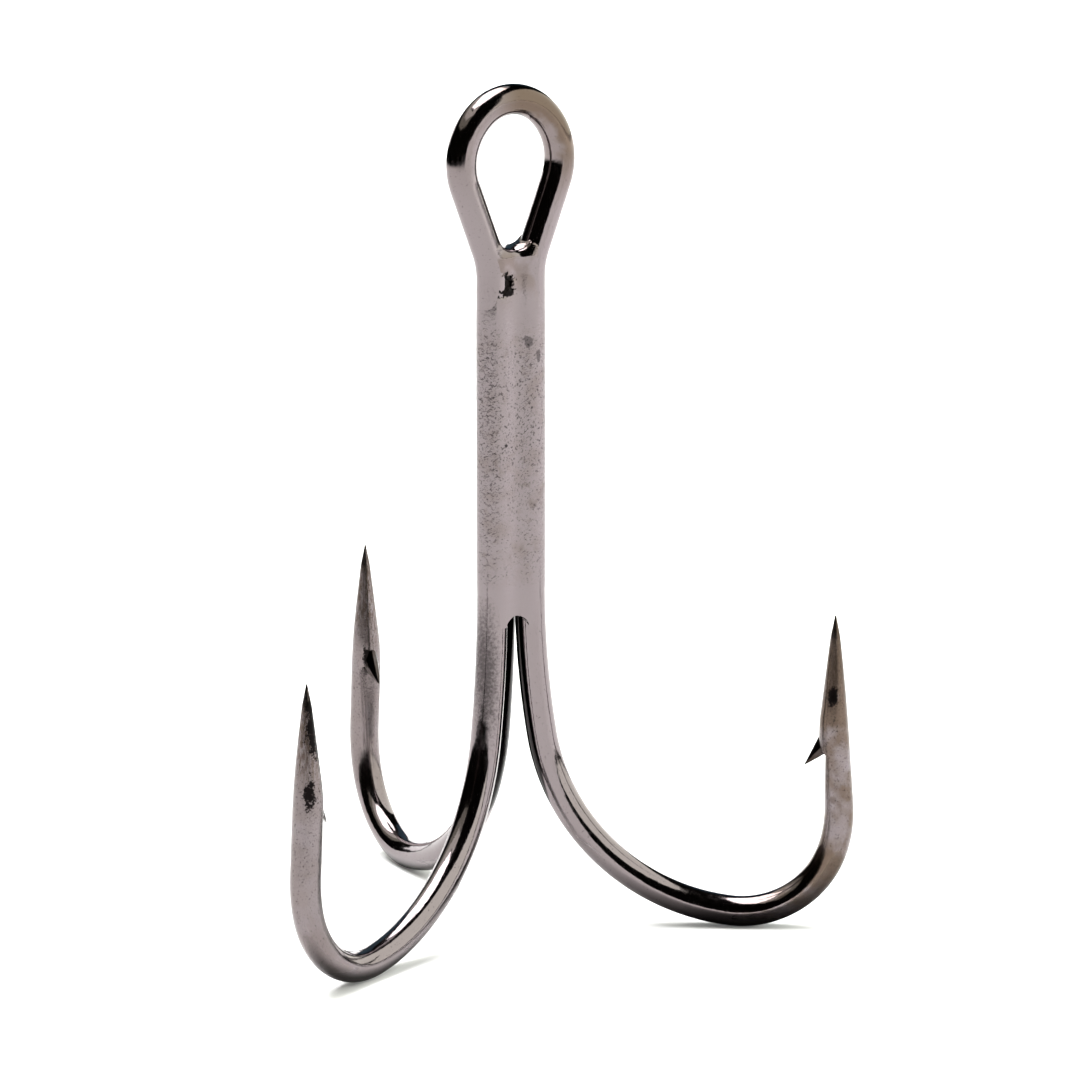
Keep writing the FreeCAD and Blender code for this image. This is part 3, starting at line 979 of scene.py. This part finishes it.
STUDIO_CENTRE = Vector((0.0, 0.0, floor_level + 18.0 * MM))
SIDE_CARD = ((40, 1), (40, 50), (52, 59), (75, 63), (108, 60), (130, 45), (145, 22), (155, 1))
OVERHEAD_SOFTBOX = ((-30, 62), (-65, 56), (-105, 50), (-150, 48), (-178, 52), (168, 56), (158, 64), (140, 74),
                    (60, 82), (0, 74))
SOFTBOX_SKIRT = ((-30, 60), (-65, 54), (-105, 48), (-150, 44), (-150, 34), (-105, 38), (-65, 42), (-30, 47))
SKIRT_EDGE = ((-35, 46), (-65, 42), (-105, 38), (-150, 34), (-150, 25), (-105, 28), (-65, 31), (-35, 35))
FAR_BACKDROP = ((135, 0.5), (135, 11), (180, 11), (-135, 11), (-135, 0.5))
WINDOW_GLOW = ((158, 14), (158, 38), (180, 40), (-150, 38), (-150, 14))
PANELS = (
    # Name, outline, distance in metres, radiance and colour of each panel.
    ("side_card", SIDE_CARD, 0.45, 2.9, (1.0, 1.03, 0.94)),
    ("overhead_softbox", OVERHEAD_SOFTBOX, 0.7, 12.0, (1.0, 1.0, 1.0)),
    ("softbox_skirt", SOFTBOX_SKIRT, 0.68, 2.0, (1.0, 1.0, 0.92)),
    ("skirt_edge", SKIRT_EDGE, 0.66, 0.7, (1.0, 1.0, 0.85)),
    ("far_backdrop", FAR_BACKDROP, 1.6, 3.2, (1.0, 1.0, 1.0)),
    ("window_glow", WINDOW_GLOW, 1.2, 0.2, (0.45, 0.75, 1.0)),
)


def toward(azimuth, elevation):
    """A direction from the object: azimuth 0 is towards the camera, 90 to its right."""
    level = to_camera * cos(azimuth) + camera_right * sin(azimuth)
    return level * cos(elevation) + Vector((0.0, 0.0, sin(elevation)))


def glowing_panel(name, outline, distance, radiance, colour):
    """A flat light seen from the object with an outline of (azimuth, elevation) directions."""
    directions = [toward(azimuth, elevation) for azimuth, elevation in outline]
    axis = sum(directions, Vector()).normalized()
    corners = [STUDIO_CENTRE + direction * (distance / direction.dot(axis)) for direction in directions]
    material = bpy.data.materials.new(name)
    material.use_nodes = True
    tree = material.node_tree
    tree.nodes.remove(tree.nodes["Principled BSDF"])
    light = node(tree, "ShaderNodeEmission", (-200, 0))
    light.inputs["Color"].default_value = (*colour, 1.0)
    light.inputs["Strength"].default_value = radiance
    tree.links.new(light.outputs["Emission"], tree.nodes["Material Output"].inputs["Surface"])
    mesh = bpy.data.meshes.new(name)
    mesh.from_pydata(corners, [], [tuple(range(len(corners)))])
    mesh.materials.append(material)
    panel = bpy.data.objects.new(name, mesh)
    bpy.context.scene.collection.objects.link(panel)
    panel.visible_camera = False
    panel.visible_shadow = False


for panel_values in PANELS:
    glowing_panel(*panel_values)


# The studio's floor, and sheets on it that are seen only in the object's reflections.

FLOOR_HALF_SIZE = 6.0
FLOOR_WHITE = (0.85, 0.85, 0.85, 1.0)
FLOOR_ROUGHNESS = 0.9
FLOOR_GLOW = (0.10, 0.6, 0.08, 1.4)  # two distances from the shank in metres, and its glow at each
DARK_AZIMUTHS = range(-150, 26, 5)   # from behind on the left round to the front right
DARK_FADE = (0.16, 0.28, 0.0, 1.0)   # two distances in metres, and how much it covers at each
DARK_REACH = 9.0
DARK_LEVEL = 1.0 * MM                # the sheets' heights above the floor
PATCH_LEVEL = 0.5 * MM
SHADE_LEVEL = 0.02 * MM
PATCH_AZIMUTH = 95.0
PATCH_DISTANCE = 0.12
PATCH_RADIUS = 0.11
PATCH_COVER = 0.9
PATCH_RADIANCE = 3.3
SHADE_CORE = 0.1                     # the share of a contact shade's size that is darkest
DISC_STEP = 6                        # degrees between the corners of a disc
CONTACT_SHADES = {
    # Half length, half width and darkness under each bend.
    "right": (11.5 * MM, 12.5 * MM, 0.97),
    "left": (9.0 * MM, 3.0 * MM, 0.80),
    "single": (5.0 * MM, 1.5 * MM, 0.70),
}
DARK_ROOM = (0.006, 0.005, 0.004, 1.0)


def by_distance(tree, near, far, near_value, far_value):
    """A value that changes with the distance from the sheet's own origin."""
    place = node(tree, "ShaderNodeTexCoord", (-900, 0)).outputs["Object"]
    distance = node(tree, "ShaderNodeVectorMath", (-700, 0), operation="LENGTH")
    tree.links.new(place, distance.inputs[0])
    return ramp(tree, distance.outputs["Value"], near, far, near_value, far_value)


def floor_material():
    material = bpy.data.materials.new("floor_white")
    material.use_nodes = True
    tree = material.node_tree
    shader = tree.nodes["Principled BSDF"]
    shader.inputs["Base Color"].default_value = FLOOR_WHITE
    shader.inputs["Roughness"].default_value = FLOOR_ROUGHNESS
    shader.inputs["Specular IOR Level"].default_value = 0.0
    shader.inputs["Emission Color"].default_value = (1.0, 1.0, 1.0, 1.0)
    tree.links.new(by_distance(tree, *FLOOR_GLOW), shader.inputs["Emission Strength"])
    return material


def stage_sheet(name, corners, level, material):
    """A flat sheet of the stage, with its own origin under the shank."""
    mesh = bpy.data.meshes.new(name)
    mesh.from_pydata([(x, y, 0.0) for x, y in corners], [], [tuple(range(len(corners)))])
    mesh.materials.append(material)
    sheet = bpy.data.objects.new(name, mesh)
    sheet.location = (0.0, 0.0, level)
    bpy.context.scene.collection.objects.link(sheet)
    return sheet


def make_floor():
    half = FLOOR_HALF_SIZE
    corners = ((-half, -half), (half, -half), (half, half), (-half, half))
    stage_sheet("floor", corners, floor_level, floor_material())


def fading_material(name, fade, radiance):
    """A sheet that covers by its distance from its origin, and is clear where the cover is 0."""
    material = bpy.data.materials.new(name)
    material.use_nodes = True
    tree = material.node_tree
    tree.nodes.remove(tree.nodes["Principled BSDF"])
    clear = node(tree, "ShaderNodeBsdfTransparent", (-200, 100))
    glow = node(tree, "ShaderNodeEmission", (-200, -100))
    glow.inputs["Strength"].default_value = radiance
    mix = node(tree, "ShaderNodeMixShader", (0, 0))
    tree.links.new(by_distance(tree, *fade), mix.inputs["Fac"])
    tree.links.new(clear.outputs["BSDF"], mix.inputs[1])
    tree.links.new(glow.outputs["Emission"], mix.inputs[2])
    tree.links.new(mix.outputs["Shader"], tree.nodes["Material Output"].inputs["Surface"])
    return material


def reflected_sheet(name, corners, level, fade, radiance=0.0):
    """A sheet above the floor seen only in reflections. It is black unless it has a radiance."""
    sheet = stage_sheet(name, corners, floor_level + level, fading_material(name, fade, radiance))
    sheet.visible_camera = False
    sheet.visible_diffuse = False
    sheet.visible_transmission = False
    sheet.visible_volume_scatter = False
    sheet.visible_shadow = False
    return sheet


def disc(radius):
    return [(radius * cos(angle), radius * sin(angle)) for angle in range(0, 360, DISC_STEP)]


def make_dark_surround():
    """The dark room beyond the white table."""
    corners = [(0.0, 0.0)]
    for azimuth in DARK_AZIMUTHS:
        direction = toward(azimuth, 0.0)
        corners.append((direction.x * DARK_REACH, direction.y * DARK_REACH))
    reflected_sheet("dark_surround", corners, DARK_LEVEL, DARK_FADE)


def make_bright_patch():
    """Where the side card lights the table most."""
    fade = (0.0, PATCH_RADIUS, PATCH_COVER, 0.0)
    sheet = reflected_sheet("bright_patch", disc(PATCH_RADIUS), PATCH_LEVEL, fade, PATCH_RADIANCE)
    centre = toward(PATCH_AZIMUTH, 0.0) * PATCH_DISTANCE
    sheet.location.x = centre.x
    sheet.location.y = centre.y


def make_contact_shade(hook, line):
    """A soft dark patch under a bend, where the floor gets the least light."""
    half_length, half_width, darkness = CONTACT_SHADES[hook]
    bottom = min(line.places, key=lambda spot: spot[2])
    sheet = reflected_sheet(hook + "_contact", disc(1.0), SHADE_LEVEL, (SHADE_CORE, 1.0, darkness, 0.0))
    sheet.location.x = bottom[0]
    sheet.location.y = bottom[1]
    sheet.scale = (half_length, half_width, 1.0)
    sheet.rotation_euler.z = math.radians(line.bearing)


make_floor()
make_dark_surround()
make_bright_patch()
make_contact_shade("right", leg_line("right", 1))
make_contact_shade("left", leg_line("left", -1))
make_contact_shade("single", single_line())

world = bpy.data.worlds.new("studio_dark")
world.use_nodes = True
world.node_tree.nodes["Background"].inputs["Color"].default_value = DARK_ROOM
bpy.context.scene.world = world
bpy.context.scene.view_settings.view_transform = "Standard"
